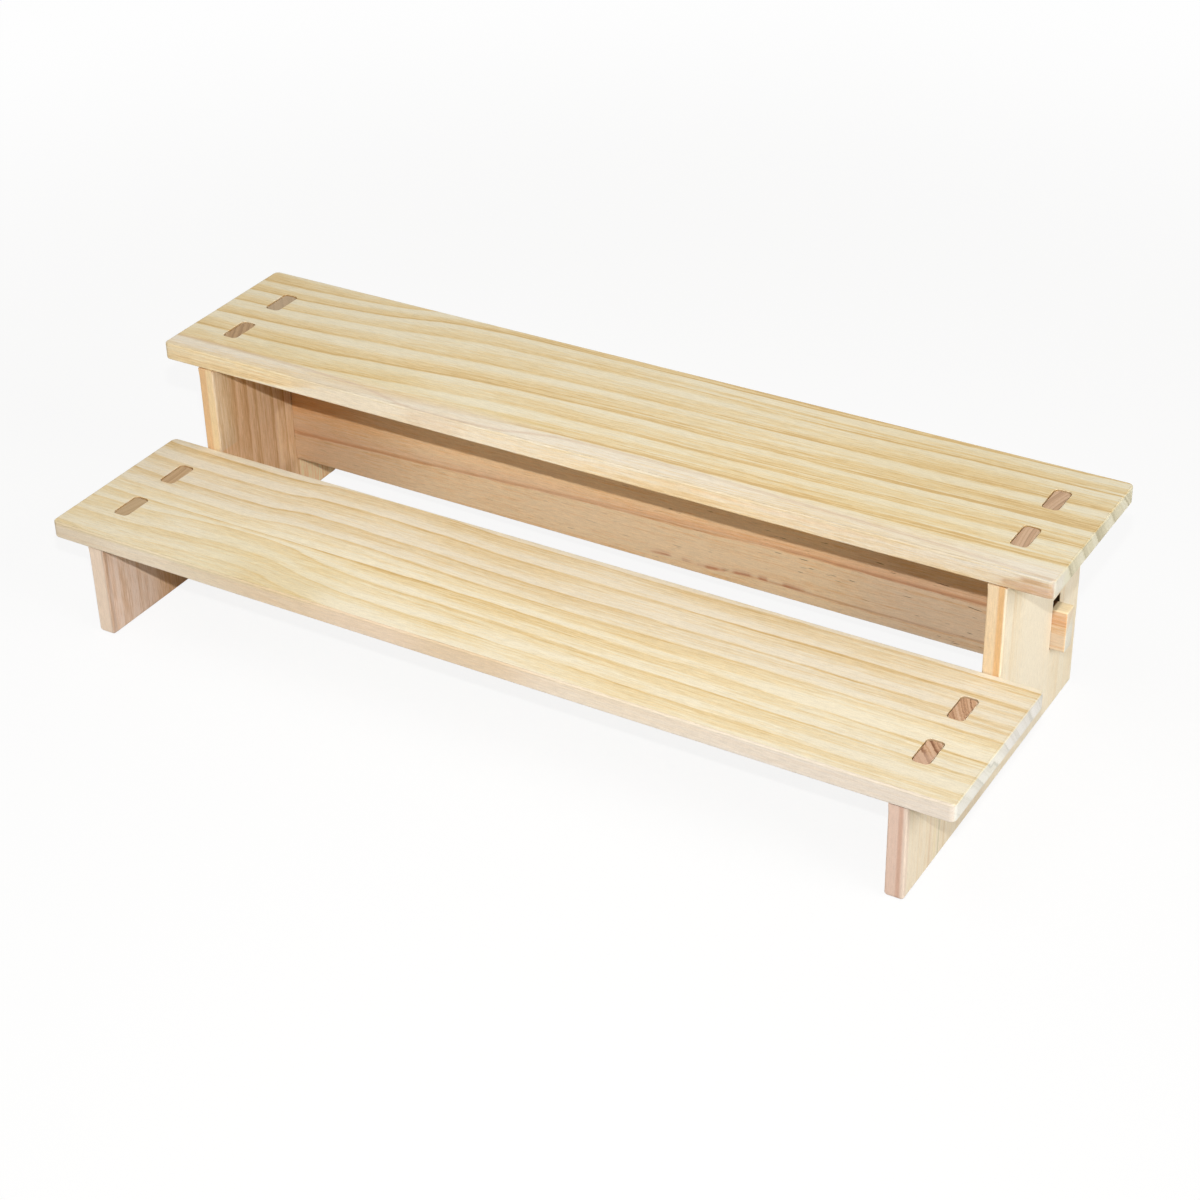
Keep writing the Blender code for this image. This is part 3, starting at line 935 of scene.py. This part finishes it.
LEFT_PITH = (-30.0, -280.0)
LEFT_INNER_FACE = -175.0
LEFT_FRONT_RADII = [92.0, 97.0, 101.0, 104.0, 107.0, 110.0]
LEFT_RINGS = [13.0, 20.5, 26.5, 37.5, 45.0, 51.5, 58.0, 65.0, 72.0, 80.0, 90.0]
LEFT_WOOD = RIGHT_WOOD._replace(
    pith=LEFT_PITH,
    radii=LEFT_FRONT_RADII + radii_at(LEFT_RINGS, LEFT_PITH, LEFT_INNER_FACE),
    strengths=[0.3] * len(LEFT_FRONT_RADII) + [0.55, 0.6, 0.6, 0.65, 0.65, 0.6, 0.55, 0.55, 0.55, 0.55, 0.55],
    width=[(0, 0.55), (90, 0.5)],
    fibres=1.7,
    colours=[(0.0, linear(228, 194, 158)), (0.35, linear(213, 172, 130)), (1.0, linear(188, 138, 92))],
    end_colours=[(0.0, linear(197, 163, 123)), (0.25, linear(178, 142, 102)), (0.6, linear(138, 102, 70))],
    tints=[
        # Low step, paler, partly painted light, with painted shade further back where the lower shelf's
        # shadow falls; painted light on the strip below the stretcher, and the strip before it lighter
        shade(1.1, 1.25, 1.65, along=LOW_STEP, across=(-2, -14)),
        shade(0.9, 0.79, 0.64, along=LOW_STEP, across=(-58, -44, -14, -2)),
        shade(1.45, 1.58, 1.6, along=(24, 17), across=(44, 55)),
        shade(1.16, 1.26, 1.34, along=(18, 24, 47, 51), across=(37.5, 41)),
        # Front of the tall step
        shade(0.93, 1.02, 1.08, along=TALL_STEP, across=(-1, 1, 8, 15)),
        shade(1.06, 1.15, 1.28, along=TALL_STEP, across=(5, 1)),
        # Tenon ends
        stain(198, 170, 138, 0.5, along=HIGH_TENONS),
        stain(206, 190, 164, 0.5, along=HIGH_TENONS, across=(40, 46)),
        stain(194, 172, 138, 0.5, along=LOW_TENONS, across=(-44, -48)),
        # Painted shade on the walls of the mortise
        shade(*MORTISE_PAINTED_SHADE, along=MORTISE_RISE, across=MORTISE_DEPTH, through=LEFT_MORTISE),
        # Front edges of both steps, the low one with a dull inner corner
        stain(242, 216, 172, 0.9, along=TALL_FRONT_RISE, across=TALL_FRONT, through=(-175.1, -176.0)),
        stain(232, 192, 146, 0.9, along=TALL_FRONT_RISE, across=TALL_FRONT, through=(-178.2, -179.2)),
        stain(247, 226, 204, 0.9, across=LOW_FRONT, through=(-175.1, -176.0)),
        shade(0.84, 0.84, 0.86, along=(42, 40), across=(-76.5, -77.8), through=(-176.3, -175.8)),
    ],
    lines=[],
    seed=37.0,
)

STRETCHER_PITH = (-30.0, 150.0)
STRETCHER_FACE = 50.65
STRETCHER_RINGS = [-10.0, 6.0, 22.4, 40.0, 54.0, 70.0, 86.0]
BROWN_RING = [
    (-190, 32.5), (-100, 36.0), (-40, 38.8), (0, 40.0), (40, 41.0), (75, 42.6), (110, 42.5), (190, 43.2),
]
STRETCHER_WOOD = Wood(
    grain=X,
    across=Z,
    through=Y,
    pith=STRETCHER_PITH,
    radii=radii_at(STRETCHER_RINGS, STRETCHER_PITH, STRETCHER_FACE),
    strengths=[0.22] * len(STRETCHER_RINGS),
    drift=[
        (24.0, [(-175, -1.6), (0, 0.0), (60, 2.0), (175, 3.0)]),
        (38.0, [(-175, -7.0), (-60, -2.5), (0, 0.0), (85, 2.5), (175, 3.2)]),
    ],
    width=[(-175, 1.4), (175, 1.6)],
    streaks=[(-175, 0.45), (0, 0.6), (100, 0.95), (175, 1.05)],
    fibres=1.75,
    colours=[(0.0, linear(239, 212, 176)), (0.45, linear(234, 195, 147)), (1.0, linear(208, 147, 94))],
    end_colours=[(0.0, linear(240, 236, 222)), (0.5, linear(228, 214, 190)), (1.0, linear(176, 150, 122))],
    end_from=185.0,
    tints=[
        # Painted shade: warmer above the brown ring, where the upper shelf's shadow falls, and darker at both
        # ends of that shadow; darker to the left and duller to the right, near the panels; lighter in the
        # middle
        shade(1.04, 0.95, 0.86, across=(39, 46)),
        shade(0.9, 0.76, 0.58, along=(-120, -165), across=(45, 49)),
        shade(0.8, 0.73, 0.7, along=(-90, -165)),
        shade(0.93, 0.94, 1.02, along=(80, 125, 178, 183)),
        shade(0.93, 0.88, 0.78, along=(105, 125, 172, 176), across=(46, 48.5)),
        shade(1.07, 1.07, 1.07, along=(-130, -80, 70, 110)),
        # Right tenon: its sides darker and cooler, then its top, paler with painted light
        shade(0.87, 0.9, 1.0, along=(181, 182.6, 187.5, 188.2)),
        stain(246, 230, 194, 0.9, along=(181.9, 182.4), across=(48.2, 48.8)),
        # Painted shade on both tenons' tops inside the mortises
        shade(*MORTISE_PAINTED_SHADE, along=(175.2, 175.8, 181.7, 182.3), across=TENON_TOP),
        shade(*MORTISE_PAINTED_SHADE, along=(-175.2, -175.8, -181.7, -182.3), across=TENON_TOP),
    ],
    lines=[
        Line(BROWN_RING, 0.9, 7.0, linear(218, 152, 106), 0.4),
        Line(BROWN_RING, 0.8, 1.8, linear(190, 126, 88), 0.4, span=(-178, -170, 20, 60)),
        Line(BROWN_RING, 1.0, 1.4, linear(176, 108, 76), 0.45, span=(45, 80, 176, 181)),
        Line([(0, 22.0), (16, 24.4), (31, 24.0), (46, 25.2), (60, 25.8), (107, 25.2), (155, 25.8)], 0.9, 2.6,
             linear(186, 110, 76), 0.75, patches=0.9, span=(2, 14, 66, 90)),
        Line([(0, 22.0), (60, 25.4), (107, 25.2), (155, 25.8)], 0.8, 1.0, linear(184, 124, 90), 0.4,
             span=(50, 70)),
    ],
    flecks=[(-175, 0.15), (40, 0.4), (100, 0.8), (172, 0.8), (178, 0.0)],
    seed=51.0,
)


# Camera, light and floor

CAMERA_AZIMUTH = radians(31.22)
CAMERA_ELEVATION = radians(32.40)
CAMERA_ROLL = radians(-1.40)
CAMERA_RIGHT = 0.0101
CAMERA_UP = 0.0221
CAMERA_BACK = 1.0291
CAMERA_LENS = 75.84
SENSOR_WIDTH = 36.0

# A small flash above the camera, and softboxes that fill its shadows
Softbox = namedtuple("Softbox", "name place power size")
FLASH_ABOVE = 0.08
FLASH_WIDTH = 0.016
FLASH_HEIGHT = 0.012
FLASH_POWER = 1.25
FLASH_SPREAD = radians(82)
FLASH_TARGET = Vector((-0.08, -0.02, 0.05))
SOFTBOXES = [
    Softbox("top_softbox", Vector((-0.4, -0.4, 1.5)), 6.0, 1.2),
    Softbox("side_softbox", Vector((1.15, -0.15, 0.62)), 7.3, 0.7),
    Softbox("front_softbox", Vector((-0.15, -1.5, 0.4)), 2.0, 0.8),
]
SOFTBOX_TARGET = Vector((0.0, 0.0, 0.05))
WORLD_LIGHT = 0.18
WORLD_COLOUR = (1.0, 0.88, 0.74, 1.0)
WHITE = (1.0, 1.0, 1.0, 1.0)

# The floor's colour for light, its colour as shown, and how much of what is shown is plain white
FLOOR_REACH = 6.0
FLOOR_SEGMENTS = 8
FLOOR_COLOUR = linear(196, 196, 195)
FLOOR_SHOWN = linear(246, 246, 245)
WHITE_NEAR = 0.35
WHITE_FAR = 0.85
WHITE_SHARE_NEAR = 0.88
WHITE_SHARE_FAR = 0.985


def camera_axes():
    """The camera's right, up and back directions."""
    back = Vector((
        sin(CAMERA_AZIMUTH) * cos(CAMERA_ELEVATION),
        -cos(CAMERA_AZIMUTH) * cos(CAMERA_ELEVATION),
        sin(CAMERA_ELEVATION),
    ))
    level = Vector((0, 0, 1)).cross(back).normalized()
    rise = back.cross(level)
    right = level * cos(CAMERA_ROLL) + rise * sin(CAMERA_ROLL)
    up = rise * cos(CAMERA_ROLL) - level * sin(CAMERA_ROLL)
    return right, up, back


def make_camera():
    """The camera, where the photograph was taken from."""
    right, up, back = camera_axes()
    data = bpy.data.cameras.new("photo_camera")
    data.sensor_width = SENSOR_WIDTH
    data.lens = CAMERA_LENS
    camera = bpy.data.objects.new("photo_camera", data)
    bpy.context.scene.collection.objects.link(camera)
    stand = Matrix((right, up, back)).transposed().to_4x4()
    stand.translation = right * CAMERA_RIGHT + up * CAMERA_UP + back * CAMERA_BACK
    camera.matrix_world = stand
    bpy.context.scene.camera = camera
    return camera


def make_lamp(name, place, target, power, width, height):
    """An area lamp that looks at a target."""
    data = bpy.data.lights.new(name, "AREA")
    data.shape = "RECTANGLE"
    data.size = width
    data.size_y = height
    data.energy = power
    lamp = bpy.data.objects.new(name, data)
    bpy.context.scene.collection.objects.link(lamp)
    lamp.location = place
    lamp.rotation_euler = (target - place).to_track_quat("-Z", "Y").to_euler()
    return lamp


def make_lamps(camera):
    """The flash above the camera, and the softboxes."""
    _, up, _ = camera_axes()
    flash_place = camera.location + up * FLASH_ABOVE
    flash = make_lamp("flash", flash_place, FLASH_TARGET, FLASH_POWER, FLASH_WIDTH, FLASH_HEIGHT)
    flash.data.spread = FLASH_SPREAD
    for box in SOFTBOXES:
        make_lamp(box.name, box.place, SOFTBOX_TARGET, box.power, box.size, box.size)


def shown_ray(graph):
    """1 for rays that show the background: from the camera, in gloss, and through glass."""
    path = graph.add("ShaderNodeLightPath").outputs
    seen = graph.math("MAXIMUM", path["Is Camera Ray"], path["Is Glossy Ray"])
    return graph.math("MAXIMUM", seen, path["Is Transmission Ray"])


def make_world():
    """A weak warm light from all round, shown as white."""
    world = bpy.data.worlds.new("studio")
    bpy.context.scene.world = world
    world.use_nodes = True
    graph = Graph(world.node_tree)
    light = graph.nodes["Background"]
    light.inputs["Color"].default_value = WORLD_COLOUR
    light.inputs["Strength"].default_value = WORLD_LIGHT
    shown = graph.add("ShaderNodeBackground")
    shown.inputs["Color"].default_value = WHITE
    shown.inputs["Strength"].default_value = 1.0
    surface = graph.shaders(shown_ray(graph), light.outputs[0], shown.outputs[0])
    graph.links.new(surface, graph.nodes["World Output"].inputs["Surface"])


def make_floor():
    """A wide pale floor that takes the riser's shadow and turns white away from it."""
    form = bmesh.new()
    bmesh.ops.create_grid(form, x_segments=FLOOR_SEGMENTS, y_segments=FLOOR_SEGMENTS, size=FLOOR_REACH)
    floor = solid("studio_floor", form, LYING, (0, 0, 0))
    material = bpy.data.materials.new("pale_floor")
    material.use_nodes = True
    graph = Graph(material.node_tree)
    graph.nodes.remove(graph.nodes["Principled BSDF"])
    matt = graph.add("ShaderNodeBsdfDiffuse")
    matt.inputs["Color"].default_value = FLOOR_COLOUR
    pale = graph.add("ShaderNodeBsdfDiffuse")
    pale.inputs["Color"].default_value = FLOOR_SHOWN
    white = graph.add("ShaderNodeEmission")
    white.inputs["Color"].default_value = WHITE
    white.inputs["Strength"].default_value = 1.0
    place = graph.split(graph.add("ShaderNodeTexCoord").outputs["Object"])
    distance = graph.length(place[X], place[Y])
    share = graph.ramp(distance, WHITE_NEAR, WHITE_FAR, WHITE_SHARE_NEAR, WHITE_SHARE_FAR)
    shown = graph.shaders(share, pale.outputs[0], white.outputs[0])
    surface = graph.shaders(shown_ray(graph), matt.outputs[0], shown)
    graph.links.new(surface, graph.nodes["Material Output"].inputs["Surface"])
    floor.data.materials.append(material)


def main():
    """Makes the pieces and the studio."""
    # Each piece: the CAD node, the piece's own name, a seed for its eased edges, and its wood
    make_shelf("upper_shelf", "upper_board", 1.0, pine("upper_board_pine", UPPER_WOOD))
    make_shelf("lower_shelf", "lower_board", 2.0, pine("lower_board_pine", LOWER_WOOD))
    make_panel("left_side_panel", "left_stepped_board", 3.0, pine("left_board_pine", LEFT_WOOD))
    make_panel("right_side_panel", "right_stepped_board", 4.0, pine("right_board_pine", RIGHT_WOOD))
    make_stretcher("rear_stretcher", "stretcher_board", 5.0, pine("stretcher_board_pine", STRETCHER_WOOD))

    make_lamps(make_camera())
    make_world()
    make_floor()
    bpy.context.scene.view_settings.view_transform = "Standard"


main()
